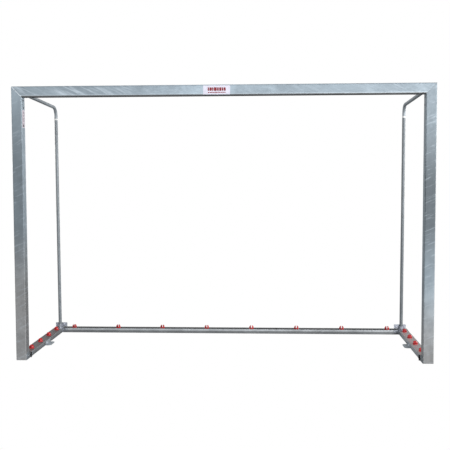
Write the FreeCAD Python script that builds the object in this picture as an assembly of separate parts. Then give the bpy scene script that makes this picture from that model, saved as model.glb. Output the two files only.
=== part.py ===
import FreeCAD, Part

# Goal frame for futsal and handball, with a 3 x 2 m mouth, in hot-dip galvanised steel.
#
# Two posts and a mitred crossbar make the front frame. Behind each post stands a side frame:
# a flat base bar on the floor, an upright tube clamped at its rear end, and a bent arm that
# runs forward to the crossbar. Each side frame swings inward about one vertical axis, through
# a hinge at the foot of its post and a clevis behind the crossbar. A separate rear bar closes
# the base and is unbolted before the side frames are folded.
#
# Millimetres. X runs across the mouth, Y from the mouth to the back and Z up from the floor.
# Everything is drawn with the front face of the posts at Y = 0, on the +X side first; save()
# moves it to the row's frame, whose origin is on the floor below the middle of the object.

import math
import os

Vector = FreeCAD.Vector

# --- Overall sizes ---------------------------------------------------------------------------
MOUTH_WIDTH = 3000.0          # clear width between the posts
MOUTH_HEIGHT = 2000.0         # clear height below the crossbar
DEPTH = 1160.0                # front face of the posts to the back of the rear bar

# --- Tubes -----------------------------------------------------------------------------------
POST_SIDE = 80.0              # square tube of the posts and the crossbar
POST_WALL = 2.0
POST_CORNER = 7.0             # outer corner radius
BASE_WIDTH = 80.0             # flat rectangular tube of the base
BASE_HEIGHT = 40.0
BASE_WALL = 2.0
BASE_CORNER = 4.0
STAY_RADIUS = 14.0            # round tube of the uprights and the arms
STAY_WALL = 1.5

# --- Side frames -----------------------------------------------------------------------------
STAY_OUTSET = 0.5             # tube's inner side to the plane of the posts' inner faces
STAY_LEAN = 29.0              # how far the upright leans forward up to the bend's corner
STAY_CORNER_DROP = 79.0       # bend's corner below the top of the frame
ARM_START_DROP = 46.0         # arm's front end below the top of the frame
ARM_BEND_RADIUS = 80.0        # on the centreline
ARM_TAIL = 16.0               # straight tube left below the bend
COLLAR_HEIGHT = 14.0
COLLAR_LIP = 1.8              # how far it stands out from the tube
COLLAR_ROUND = 1.2
SPIGOT_LENGTH = 120.0
SPIGOT_WALL = 2.0
SIDE_BAR_GAP = 5.0            # base bar's front end to the back of its post
ANCHOR_FROM_FRONT = 600.0     # middle of the floor anchor
ANCHOR_LENGTH = 140.0
ANCHOR_REACH = 42.0           # how far it stands out from the base bar
ANCHOR_THICK = 5.0
ANCHOR_CORNER = 24.0
ANCHOR_HOLE_RADIUS = 6.5
ANCHOR_BOLT_SPACING = 100.0
ANCHOR_LEG_HEIGHT = 34.0
VENT_RADIUS = 6.0             # drain hole that galvanised hollow sections need
VENT_FROM_FRONT = 492.0

# --- Hinges ----------------------------------------------------------------------------------
HINGE_INSET = 7.5             # axis to the plane of the posts' inner faces
HINGE_SETBACK = 12.5          # axis to the back of the post
BARREL_RADIUS = 6.5
BARREL_BOTTOM = 4.0
BARREL_TOP = 44.0
FOOT_PIN_RADIUS = 3.0
LEAF_THICK = 4.0
LEAF_HEIGHT = 55.0            # top of the post leaf above the floor
LEAF_ROUND = 30.0             # radius of its front upper corner
LEAF_FRONT = 3.0              # its front edge, behind the post's front face
LEAF_SLOPE_FROM = 60.0        # where its top edge starts down to the barrel
LEAF_JOGGLE = 1.0             # relief where the post leaf passes the base bar
KNUCKLE_ROOM = 1.0            # around each knuckle, in the other leaf
POST_LEAF_BOLTS = (26.0, 60.0)    # behind the post's front face
POST_LEAF_BOLT_HEIGHT = 29.0
BAR_LEAF_LENGTH = 72.0
BAR_LEAF_BOLTS = (26.0, 56.0)     # behind the hinge axis
FOOT_PIN_HEAD = (5.0, 2.5)    # radius and height
FOOT_PIN_TAIL = 1.0           # below the barrel
CLEVIS_PLATE_WIDTH = 70.0
CLEVIS_PLATE_HEIGHT = 44.0
CLEVIS_PLATE_THICK = 3.5
CLEVIS_BOLT_INSET = 10.0      # from the plate's ends
CLEVIS_EAR_THICK = 5.0
CLEVIS_EAR_RADIUS = 10.0
EYE_THICK = 8.0
EYE_RADIUS = 8.0
EYE_PLUG_LENGTH = 30.0
EYE_TONGUE_WIDTH = 20.0
EYE_TONGUE_SPREAD = 0.7       # tongue's corners on the eye, as a share of its radius
EYE_FLANGE_THICK = 2.0
TOP_PIN_RADIUS = 4.0
TOP_PIN_HEAD = (7.0, 3.0)     # radius and height
TOP_PIN_TAIL = 4.0            # below the lower ear
CLEVIS_TO_TUBE = 15.0         # pin's axis to the arm's front end

# --- Rear corners ----------------------------------------------------------------------------
PLATE_THICK = 5.0
PLATE_INNER_REACH = 59.5      # from the upright's axis
PLATE_OUTER_REACH = 42.5
PLATE_TOP = 92.0
WING_BOTTOM = 56.0            # of the two wings that the clamp is bolted to
NECK_REACH = 20.0             # from the upright's axis outwards, below the wings
LEG_LOW = 2.0                 # narrow leg between the side bar's end and the rear bar
LEG_REACH = 8.0               # to each side of the side bar's inner face
TAB_LOW = 20.0                # bottom of the tab in front of the rear bar
TAB_WIDTH = 42.0
FOOT_FLANGE_LENGTH = 48.0
FOOT_FLANGE_THICK = 4.0
PLATE_ROUND = 6.0             # its rounded corners
SOCKET_WALL = 3.5             # short sleeve on the flange, around the upright's foot
SOCKET_TOP = 57.0
SADDLE_BOTTOM = 60.0
HOOP_TOP = 80.0               # of the hoop around the upright, between the taller ears
EAR_BOTTOM = 58.0
SADDLE_THICK = 3.0
SADDLE_CLEARANCE = 0.3
SADDLE_BOLT_REACH = 34.0      # each bolt's axis from the upright's axis
TAB_BOLT_HEIGHT = 29.5

# --- Corner joints of the front frame --------------------------------------------------------
ELBOW_WALL = 3.0
ELBOW_LEG = 110.0             # past the mouth's inner corner
ELBOW_BOLTS = (23.0, 78.0)    # distances from the mouth's inner corner
PLUG_LENGTH = 22.0
PLUG_WALL = 4.0
PLUG_FLANGE = 3.0
PLUG_INNER_CORNER = 0.5       # least inner corner radius of its sleeve

# --- Net clips -------------------------------------------------------------------------------
CLIP_BASE_RADIUS = 22.0
CLIP_BASE_THICK = 3.0
CLIP_BASE_TAPER = 1.5         # its rim is smaller at the top
CLIP_BODY_RADIUS = 20.0       # domed body above the base
CLIP_HEIGHT = 29.0
CLIP_GAP = 10.0               # slot that splits the body into two fingers
CLIP_CORD_RADIUS = 5.0        # seat for the net's border cord
CLIP_CORD_HEIGHT = 12.0
CLIP_MOUTH = 6.0              # way in to the seat, one side of each finger
SIDE_CLIP_INSET = 35.0        # clip's middle to the base bar's inner side
SIDE_CLIP_PITCH = 250.0
REAR_CLIP_PITCH = 400.0

# --- Labels ----------------------------------------------------------------------------------
LABEL_THICK = 0.5
FRONT_LABEL = (200.0, 66.0)
FRONT_LABEL_OFFSET = -33.0    # its middle from the middle of the crossbar
POST_LABEL = (56.0, 132.0)
POST_LABEL_HEIGHT = 1838.0    # its middle above the floor

# --- Fasteners and fits ----------------------------------------------------------------------
M8_RADIUS = 4.0
M8_HEX = 13.0                 # across flats
M8_HEAD = 5.3
M8_BEVEL = (1.6, -0.6)        # bevel cone's radius past half the flats, at the seat and the top
M8_NUT = 6.5
M8_PAST_NUT = 2.0             # thread that shows beyond a nut
M8_HOLE_CLEARANCE = 0.25
BOLT_REACH = 16.0             # shank below the head
BUTTON_HEAD_RADIUS = 7.0
BUTTON_HEAD_HEIGHT = 4.4
BUTTON_SOCKET = (5.0, 2.4)    # across flats and depth
SCREW_RADIUS = 2.2
SCREW_HEAD_RADIUS = 4.2
SCREW_HEAD_HEIGHT = 1.8
SCREW_LENGTH = 14.0
PIN_CLEARANCE = 0.05          # running fit of each hinge pin, on the radius
SLIDE_CLEARANCE = 0.1         # spigots and plugs inside their tubes
MOVING_GAP = 0.5              # between bodies that pass or face each other

# --- Places worked out from the sizes above --------------------------------------------------
HALF_MOUTH = MOUTH_WIDTH / 2.0
HALF_WIDTH = HALF_MOUTH + POST_SIDE
HEIGHT = MOUTH_HEIGHT + POST_SIDE
ORIGIN_Y = (DEPTH - LABEL_THICK) / 2.0
HINGE_X = HALF_MOUTH - HINGE_INSET
HINGE_Y = POST_SIDE + HINGE_SETBACK
BAR_X = HALF_MOUTH + BASE_WIDTH / 2.0
STAY_X = HALF_MOUTH + STAY_OUTSET + STAY_RADIUS
REAR_FRONT = DEPTH - BASE_WIDTH
PLATE_BACK = REAR_FRONT - MOVING_GAP
PLATE_FRONT = PLATE_BACK - PLATE_THICK
BAR_FRONT = POST_SIDE + SIDE_BAR_GAP
STAY_FOOT = Vector(STAY_X, PLATE_FRONT - STAY_RADIUS, BASE_HEIGHT)
STAY_CORNER = Vector(STAY_X, STAY_FOOT.y - STAY_LEAN, HEIGHT - STAY_CORNER_DROP)
ARM_START = Vector(STAY_X, HINGE_Y + CLEVIS_TO_TUBE, HEIGHT - ARM_START_DROP)
UP = (STAY_CORNER - STAY_FOOT).normalize()
FORWARD = (ARM_START - STAY_CORNER).normalize()
BEND_TANGENT = ARM_BEND_RADIUS * math.tan(UP.getAngle(FORWARD) / 2.0)
JOINT = STAY_CORNER - UP * (BEND_TANGENT + ARM_TAIL + COLLAR_HEIGHT / 2.0)
BORE = STAY_RADIUS - STAY_WALL

X_AXIS = Vector(1, 0, 0)
Y_AXIS = Vector(0, 1, 0)
Z_AXIS = Vector(0, 0, 1)


# --- Small building blocks -------------------------------------------------------------------
def box(low, high):
    """A box between two opposite corners, each given as (x, y, z)."""
    low = Vector(*low)
    size = Vector(*high) - low
    return Part.makeBox(size.x, size.y, size.z, low)


def rod(start, direction, radius, length):
    return Part.makeCylinder(radius, length, start, direction)


def fuse(shapes):
    whole = shapes[0]
    for shape in shapes[1:]:
        whole = whole.fuse(shape)
    return whole.removeSplitter()


def cut(shape, cutters):
    for cutter in cutters:
        shape = shape.cut(cutter)
    return shape


def prism(points, along):
    """A closed polygon of vectors, extruded by a vector."""
    outline = Part.makePolygon(points + [points[0]])
    return Part.Face(outline).extrude(along)


def rounded_bar(center, u, v, width, height, corner, along):
    """A bar whose section is a rounded rectangle, width along u and height along v."""
    edges = []
    signs = ((1, 1), (-1, 1), (-1, -1), (1, -1))
    half_u = width / 2.0 - corner
    half_v = height / 2.0 - corner
    for index, (sign_u, sign_v) in enumerate(signs):
        middle = center + u * (sign_u * half_u) + v * (sign_v * half_v)
        out_u = u * (sign_u * corner)
        out_v = v * (sign_v * corner)
        first, last = (out_u, out_v) if index % 2 == 0 else (out_v, out_u)
        bulge = (out_u + out_v) * math.sqrt(0.5)
        edges.append(Part.Arc(middle + first, middle + bulge, middle + last).toShape())
    sides = []
    for index, edge in enumerate(edges):
        following = edges[(index + 1) % len(edges)]
        sides.append(edge)
        sides.append(Part.makeLine(edge.lastVertex().Point, following.firstVertex().Point))
    return Part.Face(Part.Wire(sides)).extrude(along)


def rounded_tube(center, u, v, width, height, corner, wall, along):
    """The same bar, hollow, with both ends open."""
    outer = rounded_bar(center, u, v, width, height, corner, along)
    inner = rounded_bar(center, u, v, width - 2 * wall, height - 2 * wall, corner - wall, along)
    return outer.cut(inner)


def end_plug(center, u, v, width, height, corner, wall, inward, flange):
    """A plastic end plug: a flange over the tube's end, with a hollow sleeve inside the tube."""
    slack = 2 * SLIDE_CLEARANCE
    inner_u = width - 2 * wall - slack
    inner_v = height - 2 * wall - slack
    radius = corner - wall
    sleeve_radius = max(radius, PLUG_WALL + PLUG_INNER_CORNER)
    sleeve = rounded_tube(
        center, u, v, inner_u, inner_v, sleeve_radius, PLUG_WALL, inward * PLUG_LENGTH
    )
    lid = rounded_bar(center, u, v, inner_u, inner_v, radius, inward * PLUG_WALL)
    if flange == 0:
        return fuse([sleeve, lid])
    cap = rounded_bar(center, u, v, width, height, corner, inward * -flange)
    return fuse([cap, lid, sleeve])


def hexagon(start, direction, across_flats, height):
    """A hexagonal prism, for bolt heads and nuts."""
    side = X_AXIS if abs(direction.x) < 0.5 else Y_AXIS
    other = direction.cross(side)
    radius = across_flats / math.sqrt(3.0)
    corners = []
    for step in range(6):
        turn = math.radians(60.0 * step)
        corners.append(start + side * (radius * math.cos(turn)) + other * (radius * math.sin(turn)))
    return prism(corners, direction * height)


def hex_bolt(seat, direction, length):
    """An M8 hexagon bolt: the head's seat, the way the shank points, and the shank's length."""
    head = hexagon(seat, direction * -1, M8_HEX, M8_HEAD)
    seat_radius, top_radius = [M8_HEX / 2.0 + extra for extra in M8_BEVEL]
    bevel = Part.makeCone(seat_radius, top_radius, M8_HEAD, seat, direction * -1)
    return fuse([head.common(bevel), rod(seat, direction, M8_RADIUS, length)])


def hex_nut(seat, direction):
    """An M8 nut that stands on a seat and is already on its bolt."""
    nut = hexagon(seat, direction, M8_HEX, M8_NUT)
    return nut.cut(rod(seat, direction, M8_RADIUS, M8_NUT))


def button_bolt(seat, direction, length):
    """An M8 button-head bolt with a socket in its domed head."""
    rise = BUTTON_HEAD_HEIGHT
    sphere_radius = (BUTTON_HEAD_RADIUS ** 2 + rise ** 2) / (2.0 * rise)
    dome = Part.makeSphere(sphere_radius, seat + direction * (sphere_radius - rise))
    head = dome.common(rod(seat, direction * -1, BUTTON_HEAD_RADIUS, rise))
    socket = hexagon(seat - direction * rise, direction, *BUTTON_SOCKET)
    return fuse([head.cut(socket), rod(seat, direction, M8_RADIUS, length)])


def bolt_hole(seat, direction, length):
    start = seat - direction
    return rod(start, direction, M8_RADIUS + M8_HOLE_CLEARANCE, length + 2.0)


def mirrored(shape):
    """The same piece on the other side of the mouth."""
    return shape.mirror(Vector(0, 0, 0), X_AXIS)


def save(name, solids):
    """Write one node. A group of like pieces stays separate solids in one file."""
    shape = solids[0] if len(solids) == 1 else Part.makeCompound(solids)
    moved = shape.copy()
    moved.translate(Vector(0, -ORIGIN_Y, 0))
    moved.exportStep(os.path.join("parts", name + ".step"))


def save_pair(name, solids):
    """Write a piece of each side frame as left_NAME and right_NAME."""
    save("right_" + name, solids)
    save("left_" + name, [mirrored(solid) for solid in solids])


def save_both(name, solids):
    """Write pieces of the front frame that stand on both sides as one group."""
    save(name, solids + [mirrored(solid) for solid in solids])


# --- Front frame -----------------------------------------------------------------------------
def corner_bolt_seats():
    """Seat and direction of each bolt that holds the right corner's elbow."""
    middle = POST_SIDE / 2.0
    seats = []
    for distance in ELBOW_BOLTS:
        seats.append((Vector(HALF_MOUTH, middle, MOUTH_HEIGHT - distance), X_AXIS))
        seats.append((Vector(HALF_MOUTH - distance, middle, MOUTH_HEIGHT), Z_AXIS))
    return seats


def clevis_bolt_seats():
    """Seat and direction of the two bolts behind the crossbar's right end."""
    reach = CLEVIS_PLATE_WIDTH / 2.0 - CLEVIS_BOLT_INSET
    seats = []
    for sign in (-1, 1):
        seat = Vector(HINGE_X + sign * reach, POST_SIDE + CLEVIS_PLATE_THICK, ARM_START.z)
        seats.append((seat, Y_AXIS * -1))
    return seats


def foot_bolt_seats():
    """Seat and direction of the two bolts through the right post leaf."""
    seats = []
    for y in POST_LEAF_BOLTS:
        seats.append((Vector(HALF_MOUTH - LEAF_THICK, y, POST_LEAF_BOLT_HEIGHT), X_AXIS))
    return seats


def front_frame_holes():
    holes = []
    for seat, direction in corner_bolt_seats() + clevis_bolt_seats() + foot_bolt_seats():
        holes.append(bolt_hole(seat, direction, BOLT_REACH))
    return holes + [mirrored(hole) for hole in holes]


def post(holes):
    """The right post, with its top cut at 45 degrees."""
    middle = Vector(HALF_MOUTH + POST_SIDE / 2.0, POST_SIDE / 2.0, 0)
    tube = rounded_tube(
        middle, X_AXIS, Y_AXIS, POST_SIDE, POST_SIDE, POST_CORNER, POST_WALL, Z_AXIS * HEIGHT
    )
    mitre = [
        Vector(HALF_MOUTH, 0, 0),
        Vector(HALF_WIDTH, 0, 0),
        Vector(HALF_WIDTH, 0, HEIGHT),
        Vector(HALF_MOUTH, 0, MOUTH_HEIGHT),
    ]
    return cut(tube.common(prism(mitre, Y_AXIS * POST_SIDE)), holes)


def crossbar(holes):
    """The crossbar, mitred at both ends."""
    middle = Vector(-HALF_WIDTH, POST_SIDE / 2.0, MOUTH_HEIGHT + POST_SIDE / 2.0)
    length = X_AXIS * (2 * HALF_WIDTH)
    tube = rounded_tube(
        middle, Y_AXIS, Z_AXIS, POST_SIDE, POST_SIDE, POST_CORNER, POST_WALL, length
    )
    mitre = [
        Vector(-HALF_MOUTH, 0, MOUTH_HEIGHT),
        Vector(HALF_MOUTH, 0, MOUTH_HEIGHT),
        Vector(HALF_WIDTH, 0, HEIGHT),
        Vector(-HALF_WIDTH, 0, HEIGHT),
    ]
    return cut(tube.common(prism(mitre, Y_AXIS * POST_SIDE)), holes)


def corner_elbow(holes):
    """The steel elbow inside the right corner, one leg in the post and one in the crossbar."""
    skin = POST_WALL + SLIDE_CLEARANCE
    side = POST_SIDE - 2 * skin
    corner = POST_CORNER - POST_WALL
    middle = POST_SIDE / 2.0
    low = MOUTH_HEIGHT - ELBOW_LEG
    inner = HALF_MOUTH - ELBOW_LEG
    upright_leg = rounded_tube(
        Vector(HALF_MOUTH + middle, middle, low), X_AXIS, Y_AXIS, side, side, corner, ELBOW_WALL,
        Z_AXIS * (HEIGHT - skin - low),
    )
    level_leg = rounded_tube(
        Vector(inner, middle, MOUTH_HEIGHT + middle), Y_AXIS, Z_AXIS, side, side, corner,
        ELBOW_WALL, X_AXIS * (HALF_WIDTH - skin - inner),
    )
    reach = POST_SIDE + ELBOW_LEG
    outer = Vector(HALF_WIDTH, 0, HEIGHT)
    below = [outer, outer - Z_AXIS * 2 * reach, outer - (X_AXIS + Z_AXIS) * 2 * reach]
    above = [outer, outer - X_AXIS * 2 * reach, outer - (X_AXIS + Z_AXIS) * 2 * reach]
    post_side = upright_leg.common(prism(below, Y_AXIS * POST_SIDE))
    bar_side = level_leg.common(prism(above, Y_AXIS * POST_SIDE))
    return cut(fuse([post_side, bar_side]), holes)


def post_foot_plug():
    """The plastic plug in the right post's foot, flush with its end."""
    middle = Vector(HALF_MOUTH + POST_SIDE / 2.0, POST_SIDE / 2.0, 0)
    return end_plug(
        middle, X_AXIS, Y_AXIS, POST_SIDE, POST_SIDE, POST_CORNER, POST_WALL, Z_AXIS, 0
    )


def labels():
    """Two thin blank stickers: one on the crossbar's face and one inside the left post."""
    width, height = FRONT_LABEL
    middle_z = MOUTH_HEIGHT + POST_SIDE / 2.0
    front = box(
        (FRONT_LABEL_OFFSET - width / 2.0, -LABEL_THICK, middle_z - height / 2.0),
        (FRONT_LABEL_OFFSET + width / 2.0, 0, middle_z + height / 2.0),
    )
    depth, tall = POST_LABEL
    inside = box(
        (-HALF_MOUTH, POST_SIDE / 2.0 - depth / 2.0, POST_LABEL_HEIGHT - tall / 2.0),
        (-HALF_MOUTH + LABEL_THICK, POST_SIDE / 2.0 + depth / 2.0, POST_LABEL_HEIGHT + tall / 2.0),
    )
    return front, inside


# --- Foot hinge ------------------------------------------------------------------------------
def knuckle_bounds():
    """Heights of the three knuckles: two of the post leaf around one of the bar leaf."""
    third = (BARREL_TOP - BARREL_BOTTOM) / 3.0
    low = BARREL_BOTTOM + third
    high = BARREL_TOP - third
    return low, high


def knuckle(bottom, top, bore):
    start = Vector(HINGE_X, HINGE_Y, bottom)
    barrel = rod(start, Z_AXIS, BARREL_RADIUS, top - bottom)
    return barrel, rod(start, Z_AXIS, bore, top - bottom)


def post_leaf():
    """The hinge leaf bolted to the inner face of the right post, with its two knuckles."""
    low, high = knuckle_bounds()
    x = HALF_MOUTH - LEAF_THICK
    arc_middle = Vector(x, LEAF_FRONT + LEAF_ROUND, LEAF_HEIGHT - LEAF_ROUND)
    rise = Part.Arc(
        arc_middle - Y_AXIS * LEAF_ROUND,
        arc_middle + (Z_AXIS - Y_AXIS) * (LEAF_ROUND * math.sqrt(0.5)),
        arc_middle + Z_AXIS * LEAF_ROUND,
    ).toShape()
    corners = [
        arc_middle + Z_AXIS * LEAF_ROUND,
        Vector(x, LEAF_SLOPE_FROM, LEAF_HEIGHT),
        Vector(x, POST_SIDE, BARREL_TOP),
        Vector(x, HINGE_Y, BARREL_TOP),
        Vector(x, HINGE_Y, BARREL_BOTTOM),
        Vector(x, LEAF_FRONT, BARREL_BOTTOM),
        arc_middle - Y_AXIS * LEAF_ROUND,
    ]
    outline = Part.Wire([rise] + Part.makePolygon(corners).Edges)
    leaf = Part.Face(outline).extrude(X_AXIS * LEAF_THICK)
    past_post = box(
        (HALF_MOUTH - LEAF_JOGGLE, POST_SIDE, 0), (HALF_MOUTH + 1, HINGE_Y + 1, LEAF_HEIGHT)
    )
    reach = BARREL_RADIUS + KNUCKLE_ROOM
    bar_knuckle_room = box(
        (x - 1, HINGE_Y - reach, low - MOVING_GAP / 2.0),
        (HALF_MOUTH + 1, HINGE_Y + reach, high + MOVING_GAP / 2.0),
    )
    leaf = cut(leaf, [past_post, bar_knuckle_room])
    shapes = [leaf]
    bores = []
    for bottom, top in (
        (BARREL_BOTTOM, low - MOVING_GAP / 2.0), (high + MOVING_GAP / 2.0, BARREL_TOP)
    ):
        barrel, bore = knuckle(bottom, top, FOOT_PIN_RADIUS)
        shapes.append(barrel)
        bores.append(bore)
    holes = [bolt_hole(seat, way, BOLT_REACH) for seat, way in foot_bolt_seats()]
    return cut(fuse(shapes), bores + holes)


def bar_leaf_bolt_seats():
    seats = []
    for offset in BAR_LEAF_BOLTS:
        seats.append((Vector(HALF_MOUTH - LEAF_THICK, HINGE_Y + offset, BASE_HEIGHT / 2.0), X_AXIS))
    return seats


def bar_leaf():
    """The hinge leaf on the inner face of the right base bar, with the middle knuckle."""
    low, high = knuckle_bounds()
    bottom = low + MOVING_GAP / 2.0
    top = high - MOVING_GAP / 2.0
    x = HALF_MOUTH - LEAF_THICK
    leaf = box(
        (x, HINGE_Y, BARREL_BOTTOM),
        (HALF_MOUTH, HINGE_Y + BAR_LEAF_LENGTH, BASE_HEIGHT - BASE_CORNER),
    )
    reach = BARREL_RADIUS + KNUCKLE_ROOM
    post_knuckle_room = [
        box((x - 1, HINGE_Y - 1, 0), (HALF_MOUTH + 1, HINGE_Y + reach, bottom)),
        box((x - 1, HINGE_Y - 1, top), (HALF_MOUTH + 1, HINGE_Y + reach, BARREL_TOP)),
    ]
    barrel, bore = knuckle(bottom, top, FOOT_PIN_RADIUS + PIN_CLEARANCE)
    holes = [bolt_hole(seat, way, BOLT_REACH) for seat, way in bar_leaf_bolt_seats()]
    return cut(fuse([cut(leaf, post_knuckle_room), barrel]), [bore] + holes)


def foot_pin():
    start = Vector(HINGE_X, HINGE_Y, BARREL_BOTTOM - FOOT_PIN_TAIL)
    shank = rod(start, Z_AXIS, FOOT_PIN_RADIUS, BARREL_TOP - start.z)
    head = rod(Vector(HINGE_X, HINGE_Y, BARREL_TOP), Z_AXIS, *FOOT_PIN_HEAD)
    return fuse([shank, head])


# --- Clevis behind the crossbar --------------------------------------------------------------
def clevis():
    """The bracket bolted behind the crossbar, with an ear above and below the arm's eye."""
    z = ARM_START.z
    half = CLEVIS_PLATE_WIDTH / 2.0
    plate = box(
        (HINGE_X - half, POST_SIDE, z - CLEVIS_PLATE_HEIGHT / 2.0),
        (HINGE_X + half, POST_SIDE + CLEVIS_PLATE_THICK, z + CLEVIS_PLATE_HEIGHT / 2.0),
    )
    shapes = [plate]
    gap = EYE_THICK / 2.0 + MOVING_GAP
    for bottom in (z + gap, z - gap - CLEVIS_EAR_THICK):
        pin_point = Vector(HINGE_X, HINGE_Y, bottom)
        shapes.append(rod(pin_point, Z_AXIS, CLEVIS_EAR_RADIUS, CLEVIS_EAR_THICK))
        shapes.append(
            box(
                (HINGE_X - CLEVIS_EAR_RADIUS, POST_SIDE, bottom),
                (HINGE_X + CLEVIS_EAR_RADIUS, HINGE_Y, bottom + CLEVIS_EAR_THICK),
            )
        )
    low = Vector(HINGE_X, HINGE_Y, z - CLEVIS_PLATE_HEIGHT / 2.0)
    bore = rod(low, Z_AXIS, TOP_PIN_RADIUS, CLEVIS_PLATE_HEIGHT)
    holes = [bolt_hole(seat, way, BOLT_REACH) for seat, way in clevis_bolt_seats()]
    return cut(fuse(shapes), [bore] + holes)


def clevis_pin():
    gap = EYE_THICK / 2.0 + MOVING_GAP + CLEVIS_EAR_THICK
    bottom = ARM_START.z - gap - TOP_PIN_TAIL
    top = ARM_START.z + gap
    shank = rod(Vector(HINGE_X, HINGE_Y, bottom), Z_AXIS, TOP_PIN_RADIUS, top - bottom)
    head = rod(Vector(HINGE_X, HINGE_Y, top), Z_AXIS, *TOP_PIN_HEAD)
    return fuse([shank, head])


def arm_eye():
    """The fitting in the arm's front end: a plug in the tube, a collar and an offset eye."""
    back = FORWARD * -1
    plug = rod(ARM_START, back, BORE - SLIDE_CLEARANCE, EYE_PLUG_LENGTH)
    flange = rod(ARM_START, FORWARD, STAY_RADIUS, EYE_FLANGE_THICK)
    z = ARM_START.z - EYE_THICK / 2.0
    half = EYE_TONGUE_WIDTH / 2.0
    spread = EYE_RADIUS * EYE_TONGUE_SPREAD
    end_y = ARM_START.y - EYE_FLANGE_THICK / 2.0
    tongue = prism(
        [
            Vector(HINGE_X - spread, HINGE_Y + spread, z),
            Vector(HINGE_X + spread, HINGE_Y - spread, z),
            Vector(STAY_X + half, end_y, z),
            Vector(STAY_X - half, end_y, z),
        ],
        Z_AXIS * EYE_THICK,
    )
    disc = rod(Vector(HINGE_X, HINGE_Y, z), Z_AXIS, EYE_RADIUS, EYE_THICK)
    bore = rod(Vector(HINGE_X, HINGE_Y, z - 1), Z_AXIS, TOP_PIN_RADIUS + PIN_CLEARANCE, EYE_THICK + 2)
    return fuse([plug, flange, tongue, disc]).cut(bore)


# --- Side frame ------------------------------------------------------------------------------
def base_bar_section(start_y, along):
    middle = Vector(BAR_X, start_y, BASE_HEIGHT / 2.0)
    return rounded_tube(
        middle, X_AXIS, Z_AXIS, BASE_WIDTH, BASE_HEIGHT, BASE_CORNER, BASE_WALL, along
    )


def anchor_bolt_seats():
    seats = []
    for sign in (-1, 1):
        y = ANCHOR_FROM_FRONT + sign * ANCHOR_BOLT_SPACING / 2.0
        seats.append((Vector(HALF_MOUTH - LEAF_THICK, y, BASE_HEIGHT / 2.0), X_AXIS))
    return seats


def bracket_bolt_seat():
    """The bolt through the corner bracket's foot flange, outside the upright."""
    x = STAY_X + PLATE_OUTER_REACH - M8_HEX
    y = PLATE_FRONT - FOOT_FLANGE_LENGTH + M8_HEX * 0.75
    return Vector(x, y, BASE_HEIGHT + FOOT_FLANGE_THICK), Z_AXIS * -1


def base_bar():
    """The right base bar, with its bolt holes, clip holes and drain hole."""
    start = BAR_FRONT + PLUG_FLANGE
    tube = base_bar_section(start, Y_AXIS * (PLATE_FRONT - PLUG_FLANGE - start))
    holes = []
    seats = bar_leaf_bolt_seats() + anchor_bolt_seats() + [bracket_bolt_seat()]
    for seat, direction in seats:
        holes.append(bolt_hole(seat, direction, BOLT_REACH))
    vent = Vector(HALF_MOUTH - 1, VENT_FROM_FRONT, BASE_HEIGHT / 2.0)
    holes.append(rod(vent, X_AXIS, VENT_RADIUS, 3 * BASE_WALL))
    for point in side_clip_points():
        holes.append(clip_screw_hole(point))
    return cut(tube, holes)


def base_plugs():
    plugs = []
    for y, inward in ((BAR_FRONT + PLUG_FLANGE, Y_AXIS), (PLATE_FRONT - PLUG_FLANGE, Y_AXIS * -1)):
        middle = Vector(BAR_X, y, BASE_HEIGHT / 2.0)
        plugs.append(
            end_plug(
                middle, X_AXIS, Z_AXIS, BASE_WIDTH, BASE_HEIGHT, BASE_CORNER, BASE_WALL, inward,
                PLUG_FLANGE,
            )
        )
    return plugs


def upright():
    """The upright tube, cut level at its foot so that it stands flat on the base bar."""
    top = JOINT - UP * (COLLAR_HEIGHT / 2.0)
    below = STAY_FOOT - UP * STAY_RADIUS
    length = (top - below).Length
    tube = rod(below, UP, STAY_RADIUS, length).cut(rod(below, UP, BORE, length))
    low = Vector(STAY_X, STAY_FOOT.y, 0)
    above_bar = box(
        (low.x - 2 * STAY_RADIUS, low.y - STAY_LEAN - 2 * STAY_RADIUS, BASE_HEIGHT),
        (low.x + 2 * STAY_RADIUS, low.y + 2 * STAY_RADIUS, HEIGHT),
    )
    return tube.common(above_bar)


def arm():
    """The bent tube: a short tail down to the joint, one bend, and the long run forward."""
    tail = JOINT + UP * (COLLAR_HEIGHT / 2.0)
    bend_start = STAY_CORNER - UP * BEND_TANGENT
    bend_end = STAY_CORNER + FORWARD * BEND_TANGENT
    chord = (FORWARD - UP).normalize()
    turn_center = STAY_CORNER + chord * (ARM_BEND_RADIUS / math.cos(UP.getAngle(FORWARD) / 2.0))
    middle = turn_center - chord * ARM_BEND_RADIUS
    path = Part.Wire(
        [
            Part.makeLine(tail, bend_start),
            Part.Arc(bend_start, middle, bend_end).toShape(),
            Part.makeLine(bend_end, ARM_START),
        ]
    )
    skins = []
    for radius in (STAY_RADIUS, BORE):
        ring = Part.Wire([Part.makeCircle(radius, tail, UP)])
        skins.append(path.makePipeShell([ring], True, False))
    return skins[0].cut(skins[1])


def joint_collar():
    start = JOINT - UP * (COLLAR_HEIGHT / 2.0)
    ring = rod(start, UP, STAY_RADIUS + COLLAR_LIP, COLLAR_HEIGHT)
    ring = ring.makeFillet(COLLAR_ROUND, [e for e in ring.Edges if isinstance(e.Curve, Part.Circle)])
    return ring.cut(rod(start, UP, BORE, COLLAR_HEIGHT))


def joint_spigot():
    """The tube inside the joint. It stops where the arm's bend begins."""
    above = COLLAR_HEIGHT / 2.0 + ARM_TAIL
    below = SPIGOT_LENGTH - above
    start = JOINT - UP * below
    radius = BORE - SLIDE_CLEARANCE
    tube = rod(start, UP, radius, SPIGOT_LENGTH)
    return tube.cut(rod(start, UP, radius - SPIGOT_WALL, SPIGOT_LENGTH))


def saddle_bolt_seats():
    seats = []
    z = (EAR_BOTTOM + PLATE_TOP) / 2.0
    for sign in (-1, 1):
        x = STAY_X + sign * SADDLE_BOLT_REACH
        seats.append((Vector(x, PLATE_FRONT - SADDLE_THICK, z), Y_AXIS))
    return seats


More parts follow.
